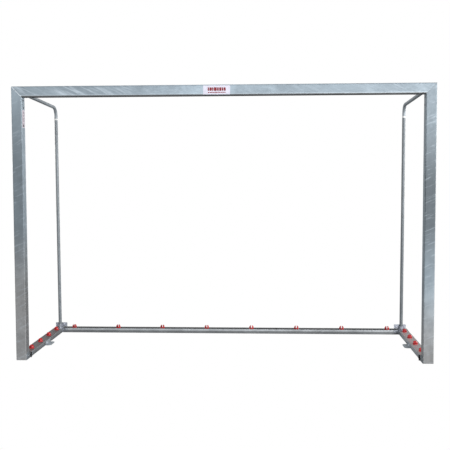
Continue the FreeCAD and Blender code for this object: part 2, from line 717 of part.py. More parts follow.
def tab_bolt_seat():
    x = STAY_X - PLATE_INNER_REACH + TAB_WIDTH / 2.0
    return Vector(x, PLATE_FRONT, TAB_BOLT_HEIGHT), Y_AXIS


def corner_bracket():
    """The zinc-plated plate at the right rear corner.

    Its two wings stand beside the upright, above the bars. Below them a neck and a narrow leg
    go down behind the base bar's end, and a tab reaches in front of the rear bar. The foot
    flange is bolted to the base bar, and a short sleeve on it holds the upright's foot.
    """
    inner = STAY_X - PLATE_INNER_REACH
    outer = STAY_X + PLATE_OUTER_REACH
    leg_inner = HALF_MOUTH - LEG_REACH
    wings = box((inner, PLATE_FRONT, WING_BOTTOM), (outer, PLATE_BACK, PLATE_TOP))
    neck = box(
        (leg_inner, PLATE_FRONT, BASE_HEIGHT + MOVING_GAP),
        (STAY_X + NECK_REACH, PLATE_BACK, PLATE_TOP),
    )
    leg = box((leg_inner, PLATE_FRONT, LEG_LOW), (HALF_MOUTH + LEG_REACH, PLATE_BACK, PLATE_TOP))
    tab = box((inner, PLATE_FRONT, TAB_LOW), (HALF_MOUTH, PLATE_BACK, BASE_HEIGHT))
    flange = box(
        (HALF_MOUTH, PLATE_FRONT - FOOT_FLANGE_LENGTH, BASE_HEIGHT),
        (outer, PLATE_FRONT, BASE_HEIGHT + FOOT_FLANGE_THICK),
    )
    bracket = fuse([wings, neck, leg, tab, flange])
    soft = []
    for edge in bracket.Edges:
        start = edge.firstVertex().Point
        end = edge.lastVertex().Point
        along_y = abs(start.x - end.x) < 0.01 and abs(start.z - end.z) < 0.01
        at_plate = min(start.y, end.y) > PLATE_FRONT - 0.01
        at_side = start.x < inner + 0.01 or start.x > outer - 0.01
        if along_y and at_plate and at_side:
            soft.append(edge)
    bracket = bracket.makeFillet(PLATE_ROUND, soft)
    middle = Vector(STAY_X, STAY_FOOT.y, BASE_HEIGHT)
    sleeve = rod(middle, Z_AXIS, STAY_RADIUS + SOCKET_WALL, SOCKET_TOP - BASE_HEIGHT)
    bracket = fuse([bracket, sleeve])
    holes = []
    for seat, direction in saddle_bolt_seats() + [tab_bolt_seat(), bracket_bolt_seat()]:
        holes.append(bolt_hole(seat, direction, BOLT_REACH))
    below = STAY_FOOT - UP * STAY_RADIUS
    holes.append(rod(below, UP, STAY_RADIUS + SADDLE_CLEARANCE, 2 * SOCKET_TOP))
    return cut(bracket, holes)


def saddle_clamp():
    """The strap in front of the upright, with a bolted ear on each side."""
    middle = STAY_FOOT + UP * ((SADDLE_BOTTOM - BASE_HEIGHT) / UP.z)
    height = HOOP_TOP - SADDLE_BOTTOM
    inner = STAY_RADIUS + SADDLE_CLEARANCE
    outer = inner + SADDLE_THICK
    low = middle - UP * height
    sleeve = fuse(
        [
            rod(low, UP, outer, 3 * height),
            box((STAY_X - outer, middle.y, SADDLE_BOTTOM), (STAY_X + outer, PLATE_FRONT, HOOP_TOP)),
        ]
    )
    room = fuse(
        [
            rod(low, UP, inner, 3 * height),
            box((STAY_X - inner, middle.y, 0), (STAY_X + inner, PLATE_BACK, 2 * PLATE_TOP)),
        ]
    )
    slab = box(
        (STAY_X - outer, middle.y - 2 * outer, SADDLE_BOTTOM),
        (STAY_X + outer, PLATE_FRONT, HOOP_TOP),
    )
    ears = box(
        (STAY_X - PLATE_INNER_REACH, PLATE_FRONT - SADDLE_THICK, EAR_BOTTOM),
        (STAY_X + PLATE_OUTER_REACH, PLATE_FRONT, PLATE_TOP),
    )
    strap = fuse([sleeve.common(slab), ears]).cut(room)
    holes = [bolt_hole(seat, way, BOLT_REACH) for seat, way in saddle_bolt_seats()]
    return cut(strap, holes)


def saddle_bolts():
    """Each clamp bolt with the nut on its end, as one set."""
    length = SADDLE_THICK + PLATE_THICK + M8_NUT + M8_PAST_NUT
    pieces = []
    for seat, direction in saddle_bolt_seats():
        pieces.append(hex_bolt(seat, direction, length))
        pieces.append(hex_nut(Vector(seat.x, PLATE_BACK, seat.z), direction))
    return pieces


def bracket_bolts():
    """The flange's bolt, and the tab's bolt, which ends flush so that the corner can part."""
    flange_seat, down = bracket_bolt_seat()
    tab_seat, back = tab_bolt_seat()
    return [
        hex_bolt(flange_seat, down, BOLT_REACH),
        hex_bolt(tab_seat, back, PLATE_THICK),
    ]


def anchor_tab():
    """The angle bracket on the base bar's inner face, with a hole for a floor anchor."""
    front = ANCHOR_FROM_FRONT - ANCHOR_LENGTH / 2.0
    back = ANCHOR_FROM_FRONT + ANCHOR_LENGTH / 2.0
    inner = HALF_MOUTH - ANCHOR_REACH
    foot = box((inner, front, 0), (HALF_MOUTH, back, ANCHOR_THICK))
    rim = []
    for edge in foot.Edges:
        start = edge.firstVertex().Point
        end = edge.lastVertex().Point
        if abs(start.z - end.z) > 1.0 and start.x < inner + 1.0:
            rim.append(edge)
    foot = foot.makeFillet(ANCHOR_CORNER, rim)
    leg = box((HALF_MOUTH - LEAF_THICK, front, 0), (HALF_MOUTH, back, ANCHOR_LEG_HEIGHT))
    middle = Vector((inner + HALF_MOUTH - LEAF_THICK) / 2.0, ANCHOR_FROM_FRONT, -1.0)
    holes = [rod(middle, Z_AXIS, ANCHOR_HOLE_RADIUS, ANCHOR_THICK + 2.0)]
    for seat, direction in anchor_bolt_seats():
        holes.append(bolt_hole(seat, direction, BOLT_REACH))
    return cut(fuse([foot, leg]), holes)


# --- Net clips -------------------------------------------------------------------------------
def clip_screw_hole(point):
    start = point - Z_AXIS * (BASE_WALL + 1.0)
    return rod(start, Z_AXIS, SCREW_RADIUS + SLIDE_CLEARANCE, BASE_WALL + CLIP_BASE_THICK + 2.0)


def clip_screw(point):
    """The self-tapping screw through a clip's base."""
    seat = point + Z_AXIS * CLIP_BASE_THICK
    head = rod(seat, Z_AXIS, SCREW_HEAD_RADIUS, SCREW_HEAD_HEIGHT)
    shank = rod(seat, Z_AXIS * -1, SCREW_RADIUS, SCREW_LENGTH)
    return fuse([head, shank])


def clip_slot(point, along, across):
    """The slot above a clip's base that splits its body into two fingers."""
    start = point + Z_AXIS * CLIP_BASE_THICK - along * (CLIP_GAP / 2.0)
    near = start - across * CLIP_BASE_RADIUS
    far = start + across * CLIP_BASE_RADIUS
    width = along * CLIP_GAP
    return prism([near, near + width, far + width, far], Z_AXIS * CLIP_HEIGHT)


def net_clip(point, along):
    """A moulded clip: a round base and a domed body, slotted into two opposed hooks.

    point is on the bar's top face and along is the bar's direction. The net's border cord runs
    along the bar through both hooks, which open towards opposite sides, so that the cord is
    pushed in under one and then the other.
    """
    across = Z_AXIS.cross(along)
    base = Part.makeCone(
        CLIP_BASE_RADIUS, CLIP_BASE_RADIUS - CLIP_BASE_TAPER, CLIP_BASE_THICK, point, Z_AXIS
    )
    shoulder = CLIP_HEIGHT - CLIP_BODY_RADIUS
    dome = Part.makeSphere(CLIP_BODY_RADIUS, point + Z_AXIS * shoulder)
    body = fuse([dome, rod(point, Z_AXIS, CLIP_BODY_RADIUS, shoulder)])
    above_bar = point + Z_AXIS * (CLIP_BASE_THICK / 2.0) - (along + across) * CLIP_BASE_RADIUS
    square = [
        above_bar,
        above_bar + along * 2 * CLIP_BASE_RADIUS,
        above_bar + (along + across) * 2 * CLIP_BASE_RADIUS,
        above_bar + across * 2 * CLIP_BASE_RADIUS,
    ]
    body = body.common(prism(square, Z_AXIS * CLIP_HEIGHT))
    seat = point + Z_AXIS * CLIP_CORD_HEIGHT
    cord = rod(seat - along * CLIP_BASE_RADIUS, along, CLIP_CORD_RADIUS, 2 * CLIP_BASE_RADIUS)
    cutters = [clip_slot(point, along, across), cord]
    for side in (-1, 1):
        low = seat - Z_AXIS * (CLIP_MOUTH / 2.0)
        out = across * (side * CLIP_BASE_RADIUS)
        mouth = [low, low + out, low + out + Z_AXIS * CLIP_MOUTH, low + Z_AXIS * CLIP_MOUTH]
        cutters.append(prism(mouth, along * (side * CLIP_BASE_RADIUS)))
    return fuse([base, cut(body, cutters)]).cut(clip_screw_hole(point))


def side_clip_points():
    """Clip positions along the right base bar, as many as the bar has room for."""
    last = PLATE_FRONT - FOOT_FLANGE_LENGTH - CLIP_BASE_RADIUS
    count = int(last // SIDE_CLIP_PITCH)
    x = HALF_MOUTH + SIDE_CLIP_INSET
    return [Vector(x, SIDE_CLIP_PITCH * (i + 1), BASE_HEIGHT) for i in range(count)]


def rear_clip_points():
    """Clip positions along the rear bar, in mirrored pairs about its middle."""
    y = DEPTH - BASE_WIDTH / 2.0
    last = HALF_WIDTH - 2 * CLIP_BASE_RADIUS
    pairs = int((last - REAR_CLIP_PITCH / 2.0) // REAR_CLIP_PITCH) + 1
    points = []
    for index in range(pairs):
        x = REAR_CLIP_PITCH * (index + 0.5)
        points += [Vector(-x, y, BASE_HEIGHT), Vector(x, y, BASE_HEIGHT)]
    return points


# --- Rear bar --------------------------------------------------------------------------------
def rear_bar():
    """The loose bar across the back, with a threaded hole for each corner bracket's tab."""
    middle = Vector(-HALF_WIDTH + PLUG_FLANGE, DEPTH - BASE_WIDTH / 2.0, BASE_HEIGHT / 2.0)
    tube = rounded_tube(
        middle, Y_AXIS, Z_AXIS, BASE_WIDTH, BASE_HEIGHT, BASE_CORNER, BASE_WALL,
        X_AXIS * (2 * (HALF_WIDTH - PLUG_FLANGE)),
    )
    seat, back = tab_bolt_seat()
    thread = rod(seat, back, M8_RADIUS, 3 * PLATE_THICK)
    holes = [thread, mirrored(thread)]
    for point in rear_clip_points():
        holes.append(clip_screw_hole(point))
    return cut(tube, holes)


def rear_plug():
    middle = Vector(HALF_WIDTH - PLUG_FLANGE, DEPTH - BASE_WIDTH / 2.0, BASE_HEIGHT / 2.0)
    return end_plug(
        middle, Y_AXIS, Z_AXIS, BASE_WIDTH, BASE_HEIGHT, BASE_CORNER, BASE_WALL, X_AXIS * -1,
        PLUG_FLANGE,
    )


# --- The whole object ------------------------------------------------------------------------
def save_front_frame():
    holes = front_frame_holes()
    save_pair("post", [post(holes)])
    save("crossbar", [crossbar(holes)])
    save_pair("corner_elbow", [corner_elbow(holes)])
    save_both("corner_bolts", [button_bolt(s, d, BOLT_REACH) for s, d in corner_bolt_seats()])
    save_both("post_foot_plugs", [post_foot_plug()])
    front, inside = labels()
    save("crossbar_label", [front])
    save("post_label", [inside])
    save_pair("post_hinge_leaf", [post_leaf()])
    save_both("post_hinge_bolts", [button_bolt(s, d, BOLT_REACH) for s, d in foot_bolt_seats()])
    save_both("foot_hinge_pins", [foot_pin()])
    save_pair("clevis", [clevis()])
    save_both("clevis_bolts", [hex_bolt(s, d, BOLT_REACH) for s, d in clevis_bolt_seats()])
    save_both("clevis_pins", [clevis_pin()])


def save_side_frames():
    save_pair("base_bar", [base_bar()])
    save_pair("base_bar_plugs", base_plugs())
    save_pair("bar_hinge_leaf", [bar_leaf()])
    save_pair("bar_hinge_bolts", [button_bolt(s, d, BOLT_REACH) for s, d in bar_leaf_bolt_seats()])
    save_pair("upright", [upright()])
    save_pair("arm", [arm()])
    save_pair("arm_eye", [arm_eye()])
    save_pair("joint_collar", [joint_collar()])
    save_pair("joint_spigot", [joint_spigot()])
    save_pair("corner_bracket", [corner_bracket()])
    save_pair("saddle_clamp", [saddle_clamp()])
    save_pair("saddle_bolts", saddle_bolts())
    save_pair("bracket_bolts", bracket_bolts())
    save_pair("anchor_tab", [anchor_tab()])
    save_pair("anchor_bolts", [hex_bolt(s, d, BOLT_REACH) for s, d in anchor_bolt_seats()])
    save_pair("net_clips", [net_clip(p, Y_AXIS) for p in side_clip_points()])
    save_pair("clip_screws", [clip_screw(p) for p in side_clip_points()])


def save_rear_bar():
    save("rear_bar", [rear_bar()])
    save_both("rear_bar_plugs", [rear_plug()])
    save("rear_net_clips", [net_clip(p, X_AXIS) for p in rear_clip_points()])
    save("rear_clip_screws", [clip_screw(p) for p in rear_clip_points()])


os.makedirs("parts", exist_ok=True)
save_front_frame()
save_side_frames()
save_rear_bar()
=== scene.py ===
"""Looks for a 3 x 2 m goal frame in galvanised steel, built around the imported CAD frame.

Every CAD node keeps its shape and gets a procedural material: spangled galvanised steel, bright
zinc plating, moulded plastic, sticker vinyl. Pieces added here are what the metal carries but
the CAD leaves out: weld seams, weld beads and generic marks on the two labels.
Metres, in the CAD frame: X across the mouth, Y from the mouth to the back, Z up.
"""

import math

import bmesh
import bpy
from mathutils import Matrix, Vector

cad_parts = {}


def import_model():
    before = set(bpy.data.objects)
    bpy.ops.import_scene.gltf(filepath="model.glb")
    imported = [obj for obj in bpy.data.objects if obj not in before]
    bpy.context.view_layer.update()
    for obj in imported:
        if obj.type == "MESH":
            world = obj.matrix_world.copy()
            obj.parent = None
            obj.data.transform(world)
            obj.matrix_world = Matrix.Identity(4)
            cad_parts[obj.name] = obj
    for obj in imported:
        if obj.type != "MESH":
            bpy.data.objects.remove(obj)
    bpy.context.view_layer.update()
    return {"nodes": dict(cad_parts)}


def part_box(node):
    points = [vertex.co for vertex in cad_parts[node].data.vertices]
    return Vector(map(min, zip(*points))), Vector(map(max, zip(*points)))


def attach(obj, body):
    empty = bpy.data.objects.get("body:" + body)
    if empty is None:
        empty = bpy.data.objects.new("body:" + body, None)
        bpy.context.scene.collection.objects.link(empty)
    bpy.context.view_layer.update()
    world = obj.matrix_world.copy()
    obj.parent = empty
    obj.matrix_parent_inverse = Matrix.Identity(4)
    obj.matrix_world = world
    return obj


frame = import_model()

NODES = frame["nodes"]
SCENE = bpy.context.scene

# --- Sizes shared with the CAD ---------------------------------------------------------------
HALF_MOUTH = 1.5
MOUTH_HEIGHT = 2.0                        # clear height below the crossbar
POST_SIDE = 0.08                          # square tube of the posts and the crossbar
BASE_HEIGHT = 0.04
HALF_WIDTH = HALF_MOUTH + POST_SIDE
TOP_Z = MOUTH_HEIGHT + POST_SIDE
FRONT_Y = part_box("crossbar")[0][1]
POST_BACK_Y = FRONT_Y + POST_SIDE
LEAF_THICK = 0.004                        # hinge leaf on a post's inner face
HINGE_X = HALF_MOUTH - 0.0075             # axis of the foot hinge
HINGE_Y = POST_BACK_Y + 0.0125
ANCHOR_Y = FRONT_Y + 0.600                # middle of the floor anchor

# --- Sizes of the added pieces ---------------------------------------------------------------
SEAM_INSET = 0.004                        # seam's ends to the corner's edges
SEAM_WIDTH = 0.0028
SEAM_RISE = 0.0008
KNUCKLE_WELD_SPANS = ((0.006, 0.015), (0.033, 0.042))    # heights above the floor
KNUCKLE_WELD_SETBACK = 0.0042             # behind the back of the post
KNUCKLE_WELD_WIDTH = 0.004
KNUCKLE_WELD_RISE = 0.0015
PRINT_THICK = 0.00015
FRONT_BAR_WIDTHS = (0.010, 0.016, 0.010, 0.020, 0.012, 0.016, 0.010, 0.014)
FRONT_BAR_GAP = 0.0036
FRONT_BAR_HEIGHT = 0.025
FRONT_BAR_ROUND = 0.0025
FRONT_BAR_LIFT = 0.006                    # bars' middle above the label's middle
FRONT_DOT_COUNT = 11
FRONT_DOT_PITCH = 0.0120
FRONT_DOT_SIZE = (0.0092, 0.0075)
FRONT_DOT_ROUND = 0.0015
FRONT_DOT_DROP = 0.0185                   # dots' middle below the label's middle
SIDE_ROW_COUNT = 9
SIDE_ROW_PITCH = 0.0118
SIDE_ROW_DROP = 0.014                     # first row below the label's top
SIDE_ROW_LENGTH = 0.040
SIDE_MARKS_LENGTH = 0.028                 # of a row's marks together, without their gaps
SIDE_MARK_HEIGHT = 0.0055
SIDE_MARK_ROUND = 0.0012
SIDE_SQUARE_SIZE = (0.030, 0.014)
SIDE_SQUARE_ROUND = 0.002
SIDE_SQUARE_LIFT = 0.014                  # its middle above the label's foot

# --- Stage -----------------------------------------------------------------------------------
FLOOR_HALF_SIZE = 55.0
FLOOR_DROP = 0.0005                       # keeps the floor clear of the feet
BACKDROP_RADIUS = 60.0

# --- Where the camera stands -----------------------------------------------------------------
CAMERA_PLACE = (0.3377, -6.5158, 1.4199)
CAMERA_TURN = (86.326, 0.198, 2.999)      # degrees about X, Y and Z
CAMERA_LENS = 63.74                       # millimetres on a 36 mm sensor

# --- Colours, in linear light ----------------------------------------------------------------
ZINC_DARK = (0.175, 0.213, 0.245)
ZINC_LIGHT = (0.318, 0.382, 0.430)
ZINC_WARM_DARK = (0.215, 0.215, 0.215)
ZINC_WARM_LIGHT = (0.37, 0.375, 0.38)
PALE_ZINC = (0.60, 0.68, 0.75)
# Dirt and painted shade on the top faces of the base bars.
TOP_DIRT_AND_SHADE = (0.115, 0.098, 0.096)
BARREL_BLACK = (0.006, 0.006, 0.006)
WELD_BRIGHT = (0.95, 0.97, 1.0)
WELD_PALE = (0.78, 0.82, 0.86)
WELD_DULL = (0.30, 0.33, 0.36)
PLATED_DARK = (0.25, 0.27, 0.31)
PLATED_LIGHT = (0.45, 0.48, 0.54)
BOLT_DARK = (0.52, 0.56, 0.64)
BOLT_LIGHT = (0.86, 0.90, 0.98)
BLACKENED = (0.012, 0.012, 0.013)
BLACKENED_WORN = (0.05, 0.05, 0.052)
RED_DEEP = (0.24, 0.003, 0.005)
RED_BRIGHT = (0.44, 0.008, 0.008)
NYLON = (0.74, 0.74, 0.73)
NYLON_AGED = (0.62, 0.62, 0.60)
BLACK_PLASTIC = (0.010, 0.010, 0.011)
BLACK_DUSTY = (0.035, 0.034, 0.033)
VINYL = (0.68, 0.67, 0.77)
VINYL_SHADE = (0.58, 0.57, 0.66)
VINYL_AGED = (0.62, 0.55, 0.60)
VINYL_AGED_SHADE = (0.50, 0.44, 0.48)
PRINT_RED = (0.16, 0.004, 0.010)
PRINT_RED_FADED = (0.28, 0.012, 0.022)
PRINT_GREY = (0.05, 0.035, 0.045)
PRINT_GREY_FADED = (0.10, 0.07, 0.09)


# --- Shader building blocks ------------------------------------------------------------------
class Shader:
    """A material's node tree, with short calls for the nodes used here."""

    def __init__(self, name):
        self.material = bpy.data.materials.new(name)
        self.material.use_nodes = True
        self.tree = self.material.node_tree
        self.surface = self.tree.nodes["Principled BSDF"]
        self.place = self.node("ShaderNodeTexCoord").outputs["Object"]

    def node(self, kind, **settings):
        made = self.tree.nodes.new(kind)
        for key, value in settings.items():
            setattr(made, key, value)
        return made

    def link(self, source, target):
        self.tree.links.new(source, target)

    def feed(self, socket, value):
        """Link an output, or set a constant on the socket itself."""
        if isinstance(value, bpy.types.NodeSocket):
            self.link(value, socket)
        elif isinstance(value, tuple):
            socket.default_value = value + (1.0,)
        else:
            socket.default_value = value

    def mapped(self, scale=(1, 1, 1), turn=(0, 0, 0)):
        """Object coordinates, turned first and then stretched."""
        vector = self.place
        for name, values in (("Rotation", [math.radians(a) for a in turn]), ("Scale", scale)):
            mapping = self.node("ShaderNodeMapping")
            self.link(vector, mapping.inputs["Vector"])
            mapping.inputs[name].default_value = values
            vector = mapping.outputs["Vector"]
        return vector

    def noise(self, vector, scale, detail=3.0, roughness=0.5, distortion=0.0):
        made = self.node("ShaderNodeTexNoise")
        self.link(vector, made.inputs["Vector"])
        made.inputs["Scale"].default_value = scale
        made.inputs["Detail"].default_value = detail
        made.inputs["Roughness"].default_value = roughness
        made.inputs["Distortion"].default_value = distortion
        return made.outputs["Fac"]

    def cells(self, vector, scale):
        """Grey cells of random shade, like the spangle of zinc."""
        made = self.node("ShaderNodeTexVoronoi")
        self.link(vector, made.inputs["Vector"])
        made.inputs["Scale"].default_value = scale
        grey = self.node("ShaderNodeRGBToBW")
        self.link(made.outputs["Color"], grey.inputs["Color"])
        return grey.outputs["Val"]

    def ramp(self, value, low, high, dark=0.0, light=1.0):
        """Map low..high of a value to dark..light, and hold it outside."""
        made = self.node("ShaderNodeMapRange", interpolation_type="SMOOTHSTEP")
        self.link(value, made.inputs["Value"])
        made.inputs["From Min"].default_value = low
        made.inputs["From Max"].default_value = high
        made.inputs["To Min"].default_value = dark
        made.inputs["To Max"].default_value = light
        return made.outputs["Result"]

    def math(self, operation, first, second=0.0, third=0.0):
        made = self.node("ShaderNodeMath", operation=operation)
        for socket, value in zip(made.inputs, (first, second, third)):
            self.feed(socket, value)
        return made.outputs["Value"]

    def blend(self, fac, first, second, mode="MIX"):
        made = self.node("ShaderNodeMixRGB", blend_type=mode)
        self.feed(made.inputs["Fac"], fac)
        self.feed(made.inputs["Color1"], first)
        self.feed(made.inputs["Color2"], second)
        return made.outputs["Color"]

    def axis(self, name):
        """One object coordinate: X, Y or Z."""
        split = self.node("ShaderNodeSeparateXYZ")
        self.link(self.place, split.inputs["Vector"])
        return split.outputs[name]

    def facing(self, name):
        """How far the surface faces along one axis, from -1 to 1."""
        split = self.node("ShaderNodeSeparateXYZ")
        self.link(self.node("ShaderNodeNewGeometry").outputs["Normal"], split.inputs["Vector"])
        return split.outputs[name]

    def profile(self, name, low, high, stops):
        """A grey that follows one axis: stops are (share of low..high, brightness)."""
        share = self.ramp_linear(self.axis(name), low, high)
        made = self.node("ShaderNodeValToRGB")
        self.link(share, made.inputs["Fac"])
        elements = made.color_ramp.elements
        while len(elements) < len(stops):
            elements.new(0.5)
        for element, (place, level) in zip(elements, stops):
            element.position = place
            element.color = (level, level, level, 1.0)
        return made.outputs["Color"]

    def ramp_linear(self, value, low, high):
        """Map low..high of a value to 0..1 in a straight line."""
        made = self.node("ShaderNodeMapRange")
        self.link(value, made.inputs["Value"])
        made.inputs["From Min"].default_value = low
        made.inputs["From Max"].default_value = high
        return made.outputs["Result"]

    def bump(self, height, strength, distance):
        made = self.node("ShaderNodeBump")
        self.link(height, made.inputs["Height"])
        made.inputs["Strength"].default_value = strength
        made.inputs["Distance"].default_value = distance
        self.link(made.outputs["Normal"], self.surface.inputs["Normal"])

    def set(self, **values):
        """Set the surface's own sockets, named with underscores for spaces."""
        for name, value in values.items():
            self.feed(self.surface.inputs[name.replace("_", " ")], value)


# --- Materials -------------------------------------------------------------------------------
ALONG = {"X": (1.0, 14.0, 14.0), "Y": (14.0, 1.0, 14.0), "Z": (14.0, 14.0, 1.0)}


def toned(color, tone):
    return tuple(channel * tone for channel in color)


def zinc_coat(s, along, tone, warmth=0.0):
    """The look all galvanised pieces share. Returns its colour, its spangle and its lines."""
    plain = s.mapped()
    spangle = s.cells(plain, 85.0)
    clouds = s.noise(plain, 2.1, detail=4.0, roughness=0.55)
    patches = s.noise(plain, 7.0, detail=5.0, roughness=0.6, distortion=1.4)
    lines = s.noise(s.mapped(scale=ALONG[along]), 9.0, detail=4.0, roughness=0.65)
    value = s.math("MULTIPLY_ADD", spangle, 0.09, 0.06)
    value = s.math("MULTIPLY_ADD", s.ramp(clouds, 0.30, 0.70), 0.34, value)
    value = s.math("MULTIPLY_ADD", s.ramp(patches, 0.32, 0.68), 0.31, value)
    value = s.math("MULTIPLY_ADD", s.ramp(lines, 0.30, 0.75), 0.20, value)
    cool = s.blend(value, toned(ZINC_DARK, tone), toned(ZINC_LIGHT, tone))
    warm = s.blend(value, toned(ZINC_WARM_DARK, tone), toned(ZINC_WARM_LIGHT, tone))
    roughness = s.math("MULTIPLY_ADD", spangle, 0.12, 0.40)
    roughness = s.math("MULTIPLY_ADD", s.ramp(patches, 0.35, 0.70), 0.10, roughness)
    s.set(Metallic=0.45, Roughness=roughness)
    relief = s.math("MULTIPLY_ADD", spangle, 0.5, s.noise(plain, 900.0, detail=2.0))
    s.bump(s.math("MULTIPLY_ADD", lines, 0.8, relief), 0.10, 0.0004)
    return s.blend(warmth, cool, warm)


def galvanised_post(name, tone, warm_below, stops, inner_stops):
    """A post: bluish above, neutral grey near the floor, brightness varying with height.

    stops are for the front and back faces, inner_stops for the faces towards and away from
    the mouth. Both also stand for shade and reflections that the lights alone don't give.
    """
    s = Shader(name)
    warmth = s.ramp(s.axis("Z"), warm_below + 0.45, warm_below - 0.25)
    color = zinc_coat(s, "Z", tone, warmth)
    aside = s.ramp(s.math("ABSOLUTE", s.facing("X")), 0.60, 0.95)
    inner = s.profile("Z", 0.0, TOP_Z, inner_stops)
    levels = s.blend(aside, s.profile("Z", 0.0, TOP_Z, stops), inner)
    color = s.blend(1.0, color, levels, "MULTIPLY")
    scrapes = s.mapped(scale=(9.0, 9.0, 70.0), turn=(0, 24, 0))
    scrape = s.ramp(s.noise(scrapes, 1.0, detail=3.0, roughness=0.6), 0.54, 0.70, 0.0, 0.26)
    s.set(Base_Color=s.blend(scrape, color, toned(PALE_ZINC, 0.8)))
    return s.material


def galvanised_crossbar(name, tone, stops):
    """The crossbar: bluish, with pale diagonal run-off streaks towards its left end.

    Its upper edge is darker, a pale line runs along its lower edge, and painted shade darkens its
    underside and the lowest centimetre of its faces.
    """
    s = Shader(name)
    color = zinc_coat(s, "X", tone)
    # The stops are part paint and part painted light and shade along the bar.
    color = s.blend(1.0, color, s.profile("X", -HALF_WIDTH, HALF_WIDTH, stops), "MULTIPLY")
    runs = s.mapped(scale=(5.0, 5.0, 45.0), turn=(0, -25, 0))
    run = s.ramp(s.noise(runs, 1.0, detail=3.0, roughness=0.55, distortion=0.3), 0.46, 0.70)
    left = s.ramp(s.axis("X"), -0.2, -0.9, 0.22, 1.0)
    mask = s.math("MULTIPLY", s.math("MULTIPLY", run, left), 0.55)
    color = s.blend(mask, color, PALE_ZINC)
    edge = s.ramp(s.axis("Z"), TOP_Z - 0.014, TOP_Z - 0.002, 0.0, 0.50)
    color = s.blend(edge, color, toned(ZINC_DARK, tone * 0.8))
    run_off = s.ramp(s.axis("Z"), MOUTH_HEIGHT + 0.017, MOUTH_HEIGHT + 0.012, 0.0, 0.45)
    color = s.blend(run_off, color, PALE_ZINC)
    # Painted shade: the underside and the bottom centimetre of the faces go towards a dim grey.
    painted_underside_shade = s.ramp(s.axis("Z"), MOUTH_HEIGHT + 0.0115, MOUTH_HEIGHT + 0.0085, 0.0, 0.90)
    s.set(Base_Color=s.blend(painted_underside_shade, color, toned(ZINC_WARM_DARK, 0.60)))
    return s.material


def galvanised_bar(name, along, tone, stops, top_dirt_and_shade):
    """A base bar: dirt and painted shade darken its top face, and its sides change with the
    height.

    stops and the top colour also stand for shade and reflections that the lights alone don't
    give.
    """
    s = Shader(name)
    color = zinc_coat(s, along, tone, 0.75)
    color = s.blend(1.0, color, s.profile("Z", 0.0, BASE_HEIGHT, stops), "MULTIPLY")
    dust_and_shade = s.noise(s.mapped(), 16.0, detail=5.0, roughness=0.65)
    cover = s.ramp(dust_and_shade, 0.20, 0.60, 0.88, 1.0)
    # Painted shade and dirt: faces that point up take the top colour, in patches.
    amount = s.math("MULTIPLY", s.ramp(s.facing("Z"), 0.45, 0.90), cover)
    s.set(Base_Color=s.blend(amount, color, top_dirt_and_shade))
    return s.material


def galvanised_small(name, along, tone):
    """Round tubes and brackets."""
    s = Shader(name)
    s.set(Base_Color=zinc_coat(s, along, tone, 0.5))
    return s.material


def galvanised_arm(name, tone):
    """An arm: painted light brightens its underside up to 1.9 times, and its upper side keeps the
    plain zinc colour.
    """
    s = Shader(name)
    color = zinc_coat(s, "Y", tone, 0.5)
    # Painted light: the more a face points down, the brighter it is painted.
    dust_and_shade = s.ramp(s.facing("Z"), -0.70, 0.80)
    s.set(Base_Color=s.blend(dust_and_shade, s.blend(1.0, color, (1.9, 1.9, 1.9), "MULTIPLY"), color))
    return s.material


def galvanised_leaf(name, tone, rim_light_tone):
    """A hinge leaf: dull face, painted light on its rim, and near-black around the barrel."""
    s = Shader(name)
    color = zinc_coat(s, "Z", tone, 0.5)
    # Painted light on the rim: a painted highlight on the left leaf, painted shade on the right.
    painted_rim_light = s.ramp(s.math("ABSOLUTE", s.facing("X")), 0.75, 0.35)
    color = s.blend(painted_rim_light, color, toned(PALE_ZINC, rim_light_tone))
    across = s.math("SUBTRACT", s.math("ABSOLUTE", s.axis("X")), HINGE_X)
    deep = s.math("SUBTRACT", s.axis("Y"), HINGE_Y)
    square = s.math("MULTIPLY", across, across)
    reach = s.math("SQRT", s.math("MULTIPLY_ADD", deep, deep, square))
    # Near-black within about a centimetre of the hinge barrel's axis.
    s.set(Base_Color=s.blend(s.ramp(reach, 0.0120, 0.0085), color, BARREL_BLACK))
    return s.material


def front_bright_anchor_bolts(name):
    """The anchor bolts: the front one of each pair is bright, the rear one darker."""
    s = Shader(name)
    dull = s.ramp(s.axis("Y"), ANCHOR_Y - 0.02, ANCHOR_Y + 0.02)
    patches = s.ramp(s.noise(s.mapped(), 60.0, detail=4.0, roughness=0.6), 0.32, 0.68)
    bright = s.blend(patches, BOLT_DARK, BOLT_LIGHT)
    s.set(Base_Color=s.blend(dull, bright, toned(ZINC_WARM_DARK, 0.8)), Metallic=0.5)
    s.set(Roughness=s.ramp(patches, 0.0, 1.0, 0.30, 0.45))
    return s.material


def plated(name, dark, light, metallic=0.85, smooth=0.22, rough=0.40):
    """Bright zinc plating, or blackened steel, with patchy passivate and fine scratches."""
    s = Shader(name)
    patches = s.noise(s.mapped(), 60.0, detail=4.0, roughness=0.6)
    scratches = s.noise(s.mapped(scale=(30.0, 30.0, 3.0), turn=(20, 35, 0)), 60.0, 3.0, 0.7)
    s.set(
        Base_Color=s.blend(s.ramp(patches, 0.32, 0.68), dark, light),
        Metallic=metallic,
        Roughness=s.ramp(scratches, 0.30, 0.70, smooth, rough),
    )
    s.bump(scratches, 0.12, 0.0003)
    return s.material


def plastic(name, deep, bright, roughness, mottle=45.0):
    """Moulded plastic: slight shade variation, fine eggshell texture, scuffs."""
    s = Shader(name)
    plain = s.mapped()
    shade = s.noise(plain, mottle, detail=3.0)
    scuffs = s.noise(s.mapped(scale=(1.0, 1.0, 4.0)), 160.0, detail=4.0, roughness=0.7)
    rough = s.ramp(scuffs, 0.30, 0.75, roughness - 0.06, roughness + 0.12)
    s.set(Base_Color=s.blend(s.ramp(shade, 0.32, 0.68), deep, bright), Roughness=rough)
    s.bump(s.noise(plain, 1500.0, detail=2.0), 0.10, 0.0002)
    return s.material


